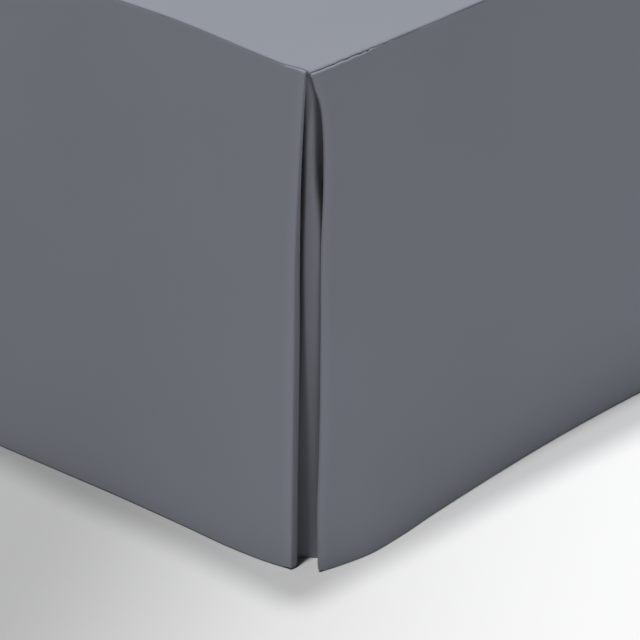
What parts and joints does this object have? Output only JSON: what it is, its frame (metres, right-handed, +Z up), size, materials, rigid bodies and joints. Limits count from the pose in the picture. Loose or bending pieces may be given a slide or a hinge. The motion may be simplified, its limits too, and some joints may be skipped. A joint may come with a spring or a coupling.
{
  "type": "bed skirt on bed base",
  "caption": "Tailored bed skirt with a flat cloth platform, straight drops on three sides and inverted corner pleats, on a plain bed base.",
  "frame": {"origin": "on the floor, under the middle of the skirt's box", "axes": "+X towards the side that the picture shows on the right, +Y towards the open head end, +Z up"},
  "size_m": [1.549, 2.0594, 0.3806],
  "materials": {
    "skirt_cloth": "smooth brushed microfibre, matt, slate grey",
    "base_cover": "plain woven cotton cover, off-white",
    "leg_wood": "oiled beech, satin"
  },
  "bodies": {
    "root": {"platform": "skirt_cloth", "foot_drop": "skirt_cloth", "side_drop_near": "skirt_cloth", "side_drop_far": "skirt_cloth", "bed_base": "base_cover", "leg_foot_near": "leg_wood", "leg_foot_far": "leg_wood", "leg_middle_near": "leg_wood", "leg_middle_far": "leg_wood", "leg_head_near": "leg_wood", "leg_head_far": "leg_wood"}
  },
  "joints": []
}
